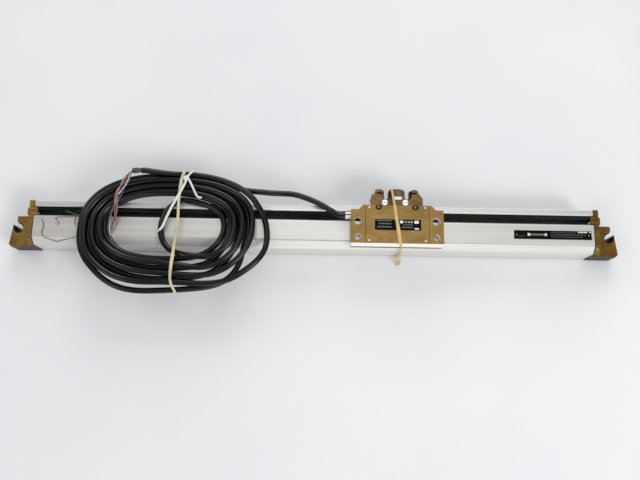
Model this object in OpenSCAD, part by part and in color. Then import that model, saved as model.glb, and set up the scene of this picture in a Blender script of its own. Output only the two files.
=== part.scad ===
// Sealed linear glass scale with its reading head, lead and coil.
// X runs along the housing, +Y points to the lip slot and the mounting foot,
// and +Z is the normal of the wide face. The end blocks stand on z = 0.

/* [Housing] */
// Length of the aluminium housing
housing_l = 668; // [560:2:900]
// Width of the housing
housing_w = 53; // [50:0.5:62]
// Height of the wide face above the mounting plane
face_z = 37; // [35:0.5:42]
// Gap between the housing's back and the mounting plane
back_gap = 1.5; // [1.4:0.1:3]
// Wall of the housing
wall = 3; // [2:0.1:3.4]
// Width of the flat strip beside the lip slot
strip_w = 7.5; // [7:0.1:9]
// Width of the lip slot
slot_w = 10.8; // [9.6:0.1:12]
// Width of the sloped edge
slope_w = 8.9; // [6:0.1:10]
// Drop of the sloped edge
slope_drop = 7.5; // [4:0.1:9]
// Radius of the screw ports in the housing's corners
port_r = 1.7; // [1.4:0.05:2]

/* [Lips] */
// Depth of the lip roots under the face
lip_root = 3; // [2:0.1:3.6]
// Height of the lip roots
lip_root_h = 2.6; // [2:0.1:3]
// Thickness of the lips at their free edges
lip_tip_t = 1.2; // [0.8:0.1:1.5]
// Clearance between each lip and the blade
lip_gap = 0.35; // [0.3:0.05:0.6]
// Distance of the lip pins from the housing's ends
lip_pin_inset = 4.7; // [4:0.1:8]
// Radius of the lip pins
lip_pin_r = 1.2; // [0.8:0.1:1.4]

/* [Scale] */
// Gap between each end of the glass scale and the housing's end
glass_end_gap = 24; // [16:1:60]
// Width of the glass scale
glass_w = 22; // [20:0.1:23]
// Thickness of the glass scale
glass_t = 4; // [3:0.1:5]
// Height of the glass scale's middle plane
glass_z = 16; // [15:0.1:17]
// Thickness of the elastic bedding round the held edge
bedding_t = 0.6; // [0.4:0.1:1]
// Depth of the groove that holds the glass
groove_d = 6; // [4:0.1:7]

/* [End blocks] */
// Thickness of the end plates
plate_t = 5.5; // [4:0.1:8]
// Thickness of the end gaskets
gasket_t = 1; // [0.5:0.1:1.5]
// Overhang of the end blocks below the housing's lower side
block_over = 1.5; // [0.5:0.1:3]
// Distance from the end plate to the ear's outer edge
ear_l = 27; // [22:0.1:32]
// Lean of the ears' outer edge, over their whole width
ear_lean = 3.9; // [0:0.1:6]
// Height of the ears above the mounting plane
ear_h = 21.5; // [16:0.1:24]
// Upper edge of the ears, measured from the middle of the housing
ear_top = 9.9; // [7:0.1:12]
// Width of the ear slots
ear_slot_w = 5.8; // [4.5:0.1:7]
// Lean of the ear slots from the length of the housing
ear_slot_angle = 54; // [45:1:60]
// Diameter of the counterbore at the ear slots' closed end
ear_spot_w = 11.5; // [10:0.1:13]
// Depth of the counterbore
ear_spot_d = 9; // [3:0.1:12]

/* [Head] */
// Place of the head's middle along the housing
head_x = 98.4; // [-100:0.2:150]
// Length of the head block
head_l = 109; // [104:0.5:120]
// Gap between the head block and the housing's face
air_gap = 1; // [0.6:0.1:2]
// Height of the head block
block_h = 10.6; // [9:0.1:12]
// Lower edge of the head block, measured from the middle of the housing
head_low = 25; // [22:0.1:26]
// Upper edge of the head's middle part
head_high = 24.5; // [23:0.1:26]
// Upper edge of the head's end tabs
tab_high = 19; // [17:0.1:21]
// Width of the bevel along the lower edge
bevel_w = 3.4; // [2:0.1:4]
// Width of the head's cover
cover_w = 75; // [70:0.5:80]
// Thickness of the cover
cover_t = 2.2; // [1.5:0.1:3]
// Thickness of the cover's gasket
cover_gasket_t = 0.4; // [0.2:0.1:0.8]
// Spacing of the tab holes along the head
tab_hole_x = 92.7; // [90:0.1:96]
// Place of the upper tab holes
tab_hole_high = 5.3; // [3:0.1:8]
// Place of the lower tab holes
tab_hole_low = -14.2; // [-16:0.1:-12]
// Radius of the upper tab holes
tab_hole_r = 4.7; // [3.5:0.05:5]
// Radius of the lower tab holes
tab_hole_low_r = 3.85; // [3:0.05:4.5]
// Distance of the cover's screws from its side edges
cover_screw_in = 4.5; // [3.5:0.1:8]
// Radius of the cover screws' heads
cover_screw_r = 1.6; // [1.2:0.1:2]

/* [Mounting foot] */
// Outer edge of the foot, measured from the middle of the housing
foot_high = 45.2; // [42:0.1:50]
// Width of the foot at the head
foot_base_w = 62; // [56:0.5:66]
// Width of the foot at its outer edge
foot_top_w = 51; // [48:0.5:54]
// Height of the foot's upper side above the mounting plane
foot_z = 44; // [43:0.1:46]
// Thickness of the foot round its slots
foot_t = 16; // [12:0.1:18]
// Spacing of the foot's slots
foot_slot_x = 25; // [22:0.1:28]
// Width of the foot's slots
foot_slot_w = 5.6; // [4.5:0.1:7]
// Width of the counterbore of the slots
foot_bore_w = 10.2; // [9:0.1:11]
// Depth of the counterbore
foot_bore_d = 6; // [4:0.1:10]
// Inner end of the slots
foot_slot_end = 37.6; // [36:0.1:39]
// Radius of the foot screws' heads
foot_screw_r = 3.5; // [3:0.1:4]

/* [Carriage] */
// Length of the scanning carriage
carriage_l = 66; // [62:1:80]
// Radius of the guide bearings
roller_r = 5; // [4:0.1:5.2]
// Width of the guide bearings
roller_w = 4; // [3:0.1:4]
// Radius of the bearings' pins
pin_r = 1.5; // [1:0.1:2]
// Gap between a guide bearing and the glass
roller_gap = 0.1; // [0.05:0.05:0.3]
// Clearance of a bearing on its pin
pin_gap = 0.04; // [0.01:0.01:0.1]
// Length of the blade that reaches through the lips
blade_l = 60; // [50:1:70]
// Thickness of the blade
blade_t = 1; // [0.8:0.1:1.5]

/* [Lead] */
// Diameter of the lead
lead_d = 7; // [6:0.1:7.4]
// Height of the lead's exit above the mounting plane
exit_z = 43; // [42.6:0.1:44]
// Place of the lead's exit across the housing
exit_y = 12.5; // [8:0.1:14]

/* [Bands and tie] */
// Width of the rubber bands
band_w = 2.6; // [2:0.1:4]
// Thickness of the rubber bands
band_t = 1; // [0.8:0.1:1.1]
// Gap between a rubber band and what it passes over
band_gap = 0.3; // [0.3:0.05:0.4]

/* [Hidden] */
$fn = 48;
gold = "#8a6a34";
silver = "#cfcdc4";
steel = "#b9bcc0";
black = "#1b1c1e";
cream = "#d8c592";
eps = 0.01;
low_y = -housing_w / 2;
high_y = housing_w / 2;
slot_high = high_y - strip_w;
slot_low = slot_high - slot_w;
slot_mid = (slot_high + slot_low) / 2;
slope_y = low_y + slope_w;
slope_z = face_z - slope_drop;
under_face = face_z - wall;
half_l = housing_l / 2;
glass_l = housing_l - 2 * glass_end_gap;
plate_x = half_l + gasket_t;
block_low = low_y - block_over;
groove_y = low_y + wall + groove_d;
glass_low = low_y + wall + bedding_t;
glass_high = glass_low + glass_w;
glass_top = glass_z + glass_t / 2;
glass_under = glass_z - glass_t / 2;
rib_t = 1.8;
port_in = wall + port_r + 1.2;
ports = [[low_y + port_in, back_gap + port_in], [high_y - port_in, back_gap + port_in],
         [high_y - port_in + 1.2, face_z - wall - lip_root_h - rib_t - port_r - 3]];
block_z = face_z + air_gap;
head_z = block_z + block_h;
end_x = head_l / 2;
cover_screw_x = cover_w - 2 * cover_screw_in;

// A flat outline in Y and Z drawn out along X between two places.
module along_x(x0, x1) {
  translate([x0, 0, 0]) rotate([90, 0, 90]) linear_extrude(x1 - x0) children();
}

// The same shape at the left and at the right end.
module both_ends() {
  children();
  mirror([1, 0, 0]) children();
}

// A straight bar with round ends, from a to b.
module bar(a, b, w) {
  d = b - a;
  translate(a) rotate(atan2(d[1], d[0])) {
    translate([0, -w / 2]) square([norm(d), w]);
    circle(d = w);
    translate([norm(d), 0]) circle(d = w);
  }
}

// A screw with a slotted cheese head: head downwards face at z = 0, shank below.
module slotted_screw(head_r, head_h, shank_r, shank_l) {
  difference() {
    cylinder(r = head_r, h = head_h);
    translate([-head_r, -head_r * 0.16, head_h * 0.5]) cube([2 * head_r, head_r * 0.32, head_h]);
  }
  translate([0, 0, -shank_l]) cylinder(r = shank_r, h = shank_l + eps);
}

// ---- Housing and its ends ----

module housing_outline() {
  polygon([[low_y, back_gap], [high_y, back_gap], [high_y, face_z - 1], [high_y - 1, face_z],
           [slope_y, face_z], [low_y + 1, slope_z + 0.8], [low_y, slope_z - 0.6]]);
}

module housing_cavity() {
  inner_low = low_y + wall;
  inner_high = high_y - wall;
  polygon([[inner_low, back_gap + wall], [inner_high, back_gap + wall], [inner_high, under_face],
           [slope_y + wall * 0.35, under_face], [inner_low, slope_z - wall * 0.8]]);
}

module housing_section() {
  rib_z = under_face - lip_root_h - rib_t;
  difference() {
    union() {
      difference() {
        housing_outline();
        housing_cavity();
      }
      translate([slot_high, rib_z]) square([high_y - wall - slot_high + eps, rib_t]);
      translate([slot_low - lip_root - rib_t, rib_z]) square([rib_t, lip_root_h + rib_t + eps]);
      translate([slot_low - lip_root - rib_t, rib_z]) square([lip_root + rib_t, rib_t]);
      for (z = [glass_under - bedding_t - rib_t, glass_top + bedding_t])
        translate([low_y + wall - eps, z]) square([groove_d + eps, rib_t]);
      for (p = ports) translate(p) circle(r = port_r + 1.4);
    }
    translate([slot_low, under_face - eps]) square([slot_w, wall + 1]);
    for (p = ports) translate(p) circle(r = port_r);
    for (s = [0, 1]) translate([s == 0 ? slot_low : slot_high, face_z]) rotate(45)
      square(1.5, center = true);
    translate([slope_y + 1.1, face_z]) rotate(45) square(0.9, center = true);
  }
}

module housing() {
  color(silver) along_x(-half_l, half_l) housing_section();
}

module block_outline() {
  polygon([[block_low, 0], [high_y, 0], [high_y, face_z - 1], [high_y - 1, face_z],
           [slope_y, face_z], [block_low + 1, slope_z + 0.6], [block_low, slope_z - 0.8]]);
}

// Centre line of an ear slot: from its closed end to beyond the ear's outer edge.
ear_x = plate_x + plate_t;
ear_end = ear_x + ear_l;
slot_in = [ear_end - 9.9, ear_top - 14.6];
slot_out = slot_in + 30 * [cos(ear_slot_angle), sin(ear_slot_angle)];
// The prong above the slot ends further in than the one below it, with a rounded corner.
prong_x = ear_end - 7.2;
prong_r = 2;
clamp_low = slot_low + 0.2;
clamp_high = slot_high - 0.8;
clamp_z = face_z - 5;

module ear_plan() {
  difference() {
    union() {
      polygon([[ear_x - 1, block_low], [ear_end, block_low], [ear_end - ear_lean, ear_top - 5],
               [ear_x - 1, ear_top - 5]]);
      translate([ear_x - 1, ear_top - 6]) square([prong_x - prong_r - ear_x + 1, 6]);
      translate([prong_x - prong_r, ear_top - prong_r]) circle(r = prong_r);
      translate([prong_x - prong_r, ear_top - 6]) square([prong_r, 6 - prong_r]);
    }
    polygon([[prong_x, slot_in[1] + (prong_x - slot_in[0]) * tan(ear_slot_angle)], slot_out,
             [prong_x, slot_out[1]]]);
    bar(slot_in, slot_out, ear_slot_w);
    translate([ear_end, block_low]) rotate(45) square(5, center = true);
  }
}

module end_block() {
  difference() {
    union() {
      along_x(plate_x, ear_x) block_outline();
      linear_extrude(ear_h) ear_plan();
    }
    translate([slot_in[0], slot_in[1], ear_h - ear_spot_d]) cylinder(d = ear_spot_w, h = ear_spot_d + 1);
    translate([plate_x - 1, clamp_low - 0.15, clamp_z]) cube([plate_t + 2, slot_high - clamp_low + 0.15, 20]);
    for (p = ports) translate([plate_x - 1, p[0], p[1]]) rotate([0, 90, 0]) {
      cylinder(r = port_r + 0.1, h = plate_t + 2);
      translate([0, 0, 1 + plate_t - 2]) cylinder(r = port_r + 1.5, h = 40);
    }
    translate([plate_x + plate_t / 2, slope_y - 3, 20]) cylinder(r = 1.05, h = 30);
    translate([plate_x + plate_t / 2, slope_y - 3, slope_z + 3.4]) cylinder(r = 2.1, h = 30);
  }
}

module end_block_left() {
  color(gold) mirror([1, 0, 0]) end_block();
}

module end_block_right() {
  color(gold) end_block();
}

module end_gasket() {
  along_x(half_l, plate_x) difference() {
    offset(delta = -0.4) housing_outline();
    translate([slot_low - 0.4, clamp_z - 0.4]) square([slot_w + 0.8, 20]);
    for (p = ports) translate(p) circle(r = port_r + 0.1);
  }
}

module end_gasket_left() {
  color(black) mirror([1, 0, 0]) end_gasket();
}

module end_gasket_right() {
  color(black) end_gasket();
}

module end_screws() {
  color(steel) both_ends() for (p = ports)
    translate([plate_x + plate_t - 2, p[0], p[1]]) rotate([0, 90, 0])
      slotted_screw(port_r + 1.2, 1.8, port_r - 0.05, plate_t + 8);
}

module fixing_screws() {
  color(steel) both_ends()
    translate([plate_x + plate_t / 2, slope_y - 3, slope_z + 3.4]) slotted_screw(1.9, 1, 1, 6);
}

// ---- Lips ----

// One lip in Y and Z. side is +1 for the upper lip and -1 for the lower one.
module lip_outline(side) {
  edge = side > 0 ? slot_high : slot_low;
  tip = slot_mid + side * (blade_t / 2 + lip_gap);
  root_z = under_face - lip_root_h;
  polygon([[edge + side * lip_root, under_face], [edge + side * lip_root, root_z],
           [edge - side * 1.2, root_z], [tip, face_z - 3.4 - lip_tip_t], [tip, face_z - 3.4],
           [edge - side * 1.6, face_z - 1.4], [edge, face_z - 1.2], [edge, under_face]]);
}

module lip(side) {
  pin_y = slot_low + 1.75;
  difference() {
    along_x(-half_l, half_l) lip_outline(side);
    both_ends() translate([half_l - lip_pin_inset, pin_y, 0]) cylinder(r = lip_pin_r, h = 60);
    both_ends() translate([half_l - 3.4, clamp_low, clamp_z]) cube([9, clamp_high - clamp_low, 20]);
  }
}

module lip_upper() {
  color(black) lip(1);
}

module lip_lower() {
  color(black) lip(-1);
}

module lip_pins() {
  color(steel) both_ends() translate([half_l - lip_pin_inset, slot_low + 1.75, under_face - lip_root_h])
    cylinder(r = lip_pin_r, h = face_z - 0.9 - under_face + lip_root_h);
}

module lip_clamp() {
  difference() {
    translate([half_l - 3.4, clamp_low, clamp_z])
      cube([plate_t + gasket_t + 4.9, clamp_high - clamp_low, face_z + 0.2 - clamp_z]);
    translate([half_l - 10, slot_mid - 0.5, face_z - 1]) cube([40, 1, 4]);
    translate([plate_x + plate_t + 1.5, clamp_high, clamp_z]) rotate(45) cube([3, 3, 20], center = true);
  }
}

module lip_clamp_left() {
  color(gold) mirror([1, 0, 0]) lip_clamp();
}

module lip_clamp_right() {
  color(gold) lip_clamp();
}

// ---- Glass scale ----

module glass_scale() {
  color("#9fc7c0", 0.5) translate([-glass_l / 2, glass_low, glass_under])
    cube([glass_l, glass_w, glass_t]);
}

module scale_bedding() {
  color(black) along_x(-glass_l / 2, glass_l / 2) difference() {
    translate([low_y + wall, glass_under - bedding_t])
      square([groove_d - 0.5, glass_t + 2 * bedding_t]);
    translate([glass_low, glass_under]) square([groove_d, glass_t]);
  }
}

plate_l = 92;
plate_w = 10.5;
plate_from_end = 3.5;
plate_rise = 6.8;
plate_rivet_in = 3;

module scale_plate() {
  color(black) translate([half_l - plate_from_end - plate_l, slope_y + plate_rise, face_z]) difference() {
    cube([plate_l, plate_w, 0.5]);
    for (x = [plate_rivet_in, plate_l - plate_rivet_in])
      translate([x, plate_w / 2, -1]) cylinder(r = 0.8, h = 3);
  }
}

// ---- Carriage ----

spine_low = glass_high + 2.2;
spine_high = slot_mid - blade_t / 2 - 1.9;
spine_base = back_gap + wall + 3;
spine_z = under_face - lip_root_h - rib_t - 3.2;
roller_z = glass_top + roller_gap + roller_r;
edge_y = glass_high + roller_gap + roller_r;
arm_low = groove_y + 1;
unit_x = head_x + 2;
unit_y = (arm_low + glass_high) / 2;
unit_l = 20;
board_z = glass_under - 5.4;
// Each guide bearing on the glass: place along X and inner face in Y.
face_rollers = [[head_x - 27, glass_high - roller_w - 0.5], [head_x + 27, glass_high - roller_w - 0.5],
                [head_x - 14.5, arm_low + 1]];
edge_rollers = [head_x - 14.5, head_x + 18];

module carriage_frame() {
  color(steel) difference() {
    union() {
      translate([head_x - carriage_l / 2, spine_low, spine_base])
        cube([carriage_l, spine_high - spine_low, spine_z - spine_base]);
      translate([unit_x - unit_l / 2 - 2, arm_low, glass_under - 4])
        cube([unit_l + 4, spine_low - arm_low + eps, 2.4]);
    }
    for (r = face_rollers) translate([r[0], spine_low - 1, roller_z]) rotate([-90, 0, 0])
      cylinder(r = pin_r, h = 30);
    for (x = edge_rollers) translate([x, edge_y, glass_z]) {
      translate([0, 0, -roller_w / 2 - 0.4]) cylinder(r = roller_r + 0.6, h = roller_w + 0.8);
      translate([0, 0, -roller_w / 2 - 3]) cylinder(r = pin_r, h = roller_w + 6);
    }
    translate([unit_x - 7.5, arm_low + 2, glass_under - 6]) cube([15, unit_y - arm_low + 3, 9]);
  }
}

module bearing_pins() {
  color(steel) {
    for (r = face_rollers) translate([r[0], r[1] - 0.4, roller_z]) rotate([-90, 0, 0]) {
      cylinder(r = pin_r, h = spine_low + 2.6 - r[1] + 0.4);
      translate([0, 0, 0.4 + roller_w + 0.2]) cylinder(r = pin_r + 0.9, h = 0.8);
      translate([0, 0, -0.8]) cylinder(r = pin_r + 0.9, h = 0.8);
    }
    for (x = edge_rollers) translate([x, edge_y, glass_z - roller_w / 2 - 3])
      cylinder(r = pin_r, h = roller_w + 6);
  }
}

// A ball bearing standing on its lower face: outer ring, shields and bore for its pin.
module guide_bearing() {
  rotate_extrude() difference() {
    translate([pin_r + pin_gap, 0]) square([roller_r - pin_r - pin_gap, roller_w]);
    for (z = [-0.3, roller_w - 0.3]) translate([pin_r + 1, z]) square([roller_r - pin_r - 2, 0.6]);
  }
}

module face_bearing(i) {
  color(steel) translate([face_rollers[i][0], face_rollers[i][1], roller_z]) rotate([-90, 0, 0])
    guide_bearing();
}

module edge_bearing(i) {
  color(steel) translate([edge_rollers[i], edge_y, glass_z - roller_w / 2]) guide_bearing();
}

module guide_bearing_1() {
  face_bearing(0);
}

module guide_bearing_2() {
  face_bearing(1);
}

module guide_bearing_3() {
  face_bearing(2);
}

module edge_bearing_1() {
  edge_bearing(0);
}

module edge_bearing_2() {
  edge_bearing(1);
}

module lamp_holder() {
  color(black) difference() {
    translate([unit_x - unit_l / 2, arm_low, glass_top + 1])
      cube([unit_l, spine_low - arm_low, spine_z - glass_top - 1]);
    translate([unit_x, unit_y, 0]) cylinder(r = 4, h = glass_top + 5);
    translate([unit_x, unit_y, 0]) cylinder(r = 2.6, h = 60);
  }
}

module lamp() {
  color("#e8dcb0") translate([unit_x, unit_y, glass_top + 5.6]) {
    cylinder(r = 2.5, h = spine_z - glass_top - 5.6);
    translate([0, 0, spine_z - glass_top - 5.6]) cylinder(r = 3, h = 0.8);
  }
}

module condenser_lens() {
  color("#b8d4d8", 0.6) translate([unit_x, unit_y, glass_top + 2.2]) rotate_extrude()
    intersection() {
      translate([0, 0]) square([4, 2.8]);
      translate([0, -5.2]) circle(r = 8, $fn = 96);
    }
}

module scanning_reticle() {
  color("#9fc7c0", 0.6) translate([unit_x - unit_l / 2, arm_low, glass_under - 1.6])
    cube([unit_l, glass_high - arm_low, 1.3]);
}

module photocell_board() {
  color("#2f6b3d") translate([unit_x - unit_l / 2, arm_low, board_z]) {
    cube([unit_l, glass_high - arm_low, 1.4]);
    for (x = [5, 8.5, 12, 15.5]) translate([x - 1.25, 4, 1.4]) cube([2.5, 5, 1]);
  }
}

module signal_lead() {
  lead_x = unit_x + unit_l / 2 - 7;
  color("#b0803c") {
    translate([lead_x, glass_high - 4, spine_base - 1]) {
      cube([6, spine_high - glass_high + 5, 0.8]);
      cube([6, 2, board_z - spine_base + 1]);
    }
    translate([lead_x, spine_high + 0.2, spine_base - 1]) cube([6, 0.8, spine_z - spine_base]);
  }
}

module blade() {
  tip = blade_l / 2;
  color(steel) translate([head_x, slot_mid, spine_z - 6]) {
    linear_extrude(block_z - spine_z + 6)
      polygon([[-tip, 0], [6 - tip, -blade_t / 2], [tip - 6, -blade_t / 2], [tip, 0],
               [tip - 6, blade_t / 2], [6 - tip, blade_t / 2]]);
    for (x = [-22, 22]) translate([x, -blade_t / 2 + eps, 3]) rotate([90, 0, 0])
      cylinder(r = 1.6, h = 1.9 + eps);
  }
}

module coupling_spring() {
  color(steel) translate([head_x - 20, slot_mid - blade_t / 2 - 0.95, spine_z - 3])
    rotate([0, 90, 0]) cylinder(r = 0.6, h = 22);
}

// ---- Head ----

cover_z = head_z - cover_t;
curve_w = 7;

// Plan of the head block: end tabs, and a middle that rises to the foot in two soft steps.
module block_plan() {
  mid_l = cover_w / 2 + 2;
  steps = 12;
  rise = head_high - tab_high;
  curve = [for (i = [0:steps]) [mid_l + curve_w - curve_w * i / steps,
    tab_high + rise * (1 - cos(180 * i / steps)) / 2]];
  difference() {
    polygon(concat([[end_x, -head_low], [end_x, tab_high]], curve,
      [for (i = [0:steps]) [-curve[steps - i][0], curve[steps - i][1]]],
      [[-end_x, tab_high], [-end_x, -head_low]]));
    translate([end_x, -head_low]) rotate(45) square(3.4, center = true);
  }
}

module tab_holes(h) {
  for (x = [-tab_hole_x / 2, tab_hole_x / 2]) {
    translate([x, tab_hole_high, 0]) cylinder(r = tab_hole_r, h = h);
    translate([x, tab_hole_low, 0]) cylinder(r = tab_hole_low_r, h = h);
  }
}

ledge_y0 = high_y + band_gap + 0.3;
ledge_y1 = 33.6;
tongue_clear = 2.5;
ledge_w = cover_screw_x - 4 * tongue_clear;
ledge_z0 = 27;
foot_seat = block_z + 1.6;
tongue_screws_x = [-21.7, 21.7];
tongue_screw_y = 22.9;
foot_screws_x = [-14.2, 10.3];
foot_screw_y = 29.2;
foot_shank_r = 1.5;
foot_head_h = 3.2;
cover_screw_high = 21.8;
cover_screw_low = -18.4;
box_low = -12.5;
box_high = 15.5;
box_rim = 3;
box_floor = 2;
tongue_low = 20.2;
gasket_high = 19.8;
cut_h = 30;
terminal_z = block_z + 4.6;

module head_block() {
  color(gold) translate([head_x, 0, 0]) difference() {
    union() {
      translate([0, 0, block_z]) linear_extrude(block_h) block_plan();
      translate([-ledge_w / 2, ledge_y0, ledge_z0]) cube([ledge_w, ledge_y1 - ledge_y0, foot_seat - ledge_z0]);
      translate([-ledge_w / 2, tab_high, block_z]) cube([ledge_w, ledge_y1 - tab_high, foot_seat - block_z]);
    }
    translate([-cover_w / 2 - 0.15, bevel_w - head_low, cover_z - cover_gasket_t])
      cube([cover_w + 0.3, head_low + foot_high, cut_h]);
    translate([-cover_w / 2 + box_rim, box_low, block_z + box_floor])
      cube([cover_w - 2 * box_rim, box_high - box_low, cut_h]);
    along_x(-end_x - 1, end_x + 1)
      polygon([[-head_low - 1, head_z - bevel_w - 1], [-head_low - 1, head_z + 1],
               [bevel_w - head_low + 1, head_z + 1]]);
    translate([0, 0, block_z - 1]) tab_holes(30);
    for (x = [-cover_screw_x / 2, cover_screw_x / 2], y = [cover_screw_low, cover_screw_high])
      translate([x, y, block_z + 1]) cylinder(r = 1.05, h = 30);
    for (x = tongue_screws_x) translate([x, tongue_screw_y, block_z - 1]) cylinder(r = 1.3, h = 30);
    for (x = tongue_screws_x) translate([x, tongue_screw_y, foot_seat + 4]) cylinder(r = 4, h = 30);
    for (x = foot_screws_x) translate([x, foot_screw_y, ledge_z0 + 2])
      cylinder(r = foot_shank_r + 0.05, h = 30);
    translate([-ledge_w / 2 - 3, tongue_low, foot_seat]) cube([ledge_w + 6, foot_high, 4]);
    translate([-end_x - 1, exit_y, exit_z]) rotate([0, 90, 0]) cylinder(r = 3, h = 25);
  }
}

module head_cover() {
  color(gold) translate([head_x, 0, 0]) difference() {
    translate([-cover_w / 2, bevel_w - head_low + 0.1, cover_z])
      cube([cover_w, head_high + head_low - bevel_w - 0.1, cover_t]);
    for (x = [-cover_screw_x / 2, cover_screw_x / 2], y = [cover_screw_low, cover_screw_high]) {
      translate([x, y, cover_z - 1]) cylinder(r = 1.1, h = 30);
      translate([x, y, head_z - 0.8]) cylinder(r = cover_screw_r + 0.15, h = 30);
    }
    for (x = tongue_screws_x) translate([x, tongue_screw_y, cover_z - 1]) cylinder(r = 4.4, h = 30);
  }
}

module cover_gasket() {
  color(black) translate([head_x, 0, cover_z - cover_gasket_t]) difference() {
    translate([-cover_w / 2 + 0.6, bevel_w - head_low + 0.6, 0])
      cube([cover_w - 1.2, gasket_high - bevel_w + head_low, cover_gasket_t]);
    translate([-cover_w / 2 + box_rim, box_low, -1])
      cube([cover_w - 2 * box_rim, box_high - box_low, 3]);
    for (x = [-cover_screw_x / 2, cover_screw_x / 2], y = [cover_screw_low, cover_screw_high])
      translate([x, y, -1]) cylinder(r = 2.2, h = 3);
    for (x = tongue_screws_x) translate([x, tongue_screw_y, -1]) cylinder(r = 4.4, h = 30);
  }
}

module cover_screws() {
  color(steel) for (x = [-cover_screw_x / 2, cover_screw_x / 2], y = [cover_screw_low, cover_screw_high])
    translate([head_x + x, y, head_z - 0.8]) slotted_screw(cover_screw_r, 1.2, 1, 6);
}

post_in = 3;
post_h = 2.2;
board_t = 1.4;

module terminal_board() {
  l = cover_w - 4 * box_rim;
  w = box_high - box_low - 5;
  color("#2f6b3d") translate([head_x - l / 2, box_low + 2.5, block_z + box_floor]) {
    for (x = [post_in, l - post_in], y = [post_in, w - post_in])
      translate([x, y, 0]) cylinder(r = 1.6, h = post_h);
    translate([0, 0, post_h]) cube([l, w, board_t]);
    for (k = [0:7]) translate([l / 6 + 5 * k, w - 6, post_h + board_t]) cylinder(r = 1, h = 1.6);
  }
}

module head_plate() {
  color(black) translate([head_x - 26.3, -5.7, head_z]) cube([54, 12.7, 0.4]);
}

// ---- Mounting foot ----

module foot_plan() {
  b = foot_base_w / 2;
  t = foot_top_w / 2;
  y0 = ledge_y1 + 0.2;
  reach = foot_high - y0;
  polygon([[-b, y0], [b, y0], [b - 1.8, y0 + 0.28 * reach], [t + 0.6, y0 + 0.59 * reach],
           [t - 0.4, foot_high - 1.2],
           [t - 3, foot_high], [-t + 0.6, foot_high], [-t, foot_high - 0.8], [-t - 0.6, y0 + 0.59 * reach],
           [-b + 1, y0 + 0.39 * reach]]);
}

module mounting_foot() {
  color(gold) translate([head_x, 0, 0]) difference() {
    union() {
      translate([0, 0, foot_z - foot_t]) linear_extrude(foot_t) foot_plan();
      translate([-foot_base_w / 2, head_high + 0.2, foot_seat])
        cube([foot_base_w, ledge_y1 - head_high + 0.1, foot_z - foot_seat]);
      translate([-ledge_w / 2 - tongue_clear, tongue_low + 0.2, foot_seat])
        cube([ledge_w + 2 * tongue_clear, head_high - tongue_low + 0.2, 3.9]);
    }
    for (x = [-foot_slot_x / 2, foot_slot_x / 2]) translate([x + 0.5, 0, 0]) {
      translate([0, 0, 10]) linear_extrude(60) bar([0, foot_slot_end], [0, 60], foot_slot_w);
      translate([0, 0, foot_z - foot_bore_d]) linear_extrude(60)
        bar([0, foot_slot_end], [0, 60], foot_bore_w);
    }
    for (x = [-21, 20.5]) translate([x - 3.4, 39.6, foot_z - 3]) cube([6.8, 2, 10]);
    for (x = foot_screws_x) translate([x, foot_screw_y, 0]) {
      cylinder(r = foot_shank_r + 0.15, h = 60);
      translate([0, 0, foot_z - foot_head_h]) cylinder(r = foot_screw_r + 0.25, h = 30);
    }
    for (x = tongue_screws_x) translate([x, tongue_screw_y, 0]) {
      cylinder(r = 1.4, h = 60);
      translate([0, 0, foot_seat + 3.9]) cylinder(r = 3, h = 30);
    }
    translate([-6.6, foot_high - 12.5, foot_z - 2.2]) cube([12.8, 30, 30]);
  }
}

module foot_screws() {
  color("#f0f0ee") for (x = foot_screws_x)
    translate([head_x + x, foot_screw_y, foot_z - foot_head_h])
      slotted_screw(foot_screw_r, foot_head_h, foot_shank_r, 9);
}

module tongue_screws() {
  color(steel) for (x = tongue_screws_x)
    translate([head_x + x, tongue_screw_y, foot_seat + 3.9]) slotted_screw(2.4, 2, 1.25, 5);
}

module foot_lug() {
  color(gold) translate([head_x - 0.6, 0, 0]) difference() {
    translate([-5.6, foot_high - 8.4, foot_z - 2.2]) cube([11.2, 8.4, 4]);
    translate([0, foot_high - 4.2, 0]) cylinder(r = 1.1, h = 80);
  }
}

module lug_screw() {
  color(steel) translate([head_x - 0.6, foot_high - 4.2, foot_z + 1.8]) slotted_screw(1.8, 0.9, 1.05, 3.9);
}

module lead_clip() {
  color(steel) translate([head_x - 3.8, 0, foot_z - 2.2]) {
    translate([0, 32.8, 0]) cube([9.6, 3.8, 2.6]);
    translate([0, 33.6, 2.6]) cube([9.6, 0.9, 0.9]);
    translate([0, 35, 2.6]) cube([9.6, 0.9, 0.9]);
  }
}

module lead_gland() {
  color("#e6e2da") translate([head_x - end_x, exit_y, exit_z]) rotate([0, -90, 0]) {
    difference() {
      union() {
        cylinder(r = 4.4, h = 2.6);
        translate([0, 0, 3.4]) cylinder(r = 4.4, h = 2.6);
        cylinder(r = 3.8, h = 6.6);
      }
      translate([0, 0, 1.2]) cylinder(d = lead_d + 0.02, h = 20);
      translate([0, 0, -1]) cylinder(r = 2.9, h = 20);
    }
    translate([0, 0, -6]) difference() {
      cylinder(r = 2.95, h = 6 + eps);
      translate([0, 0, -1]) cylinder(r = 2.2, h = 20);
    }
  }
}

// ---- Lead, coil and stripped end ----

// Route of the stretch between the gland and the coil.
run_route = [[head_x - end_x - 1.2, exit_y, exit_z], [head_x - end_x - 7.1, exit_y, exit_z],
             [34, 12.5, 43], [28, 13.8, 43.1], [19.5, 18.4, 43.4],
             [8, 25.4, 43.2], [-5, 31.6, 42], [-17, 36.2, 40.6], [-27, 38.6, 39.4], [-40, 39.4, 38.6],
             [-52, 39.6, 39], [-63, 40.2, 40.4], [-74, 40.6, 41.6], [-84, 40.4, 42.2]];
coil_z = face_z + 0.6;
coil_h = 15;
coil_step = 9;
tier_in = 0.5;
coil_mid = [-167.5, -10.5];
coil_out = [112.5, 72.5];
coil_in = [70.5, 36];
coil_in_mid = [-173, -3.5];

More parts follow.
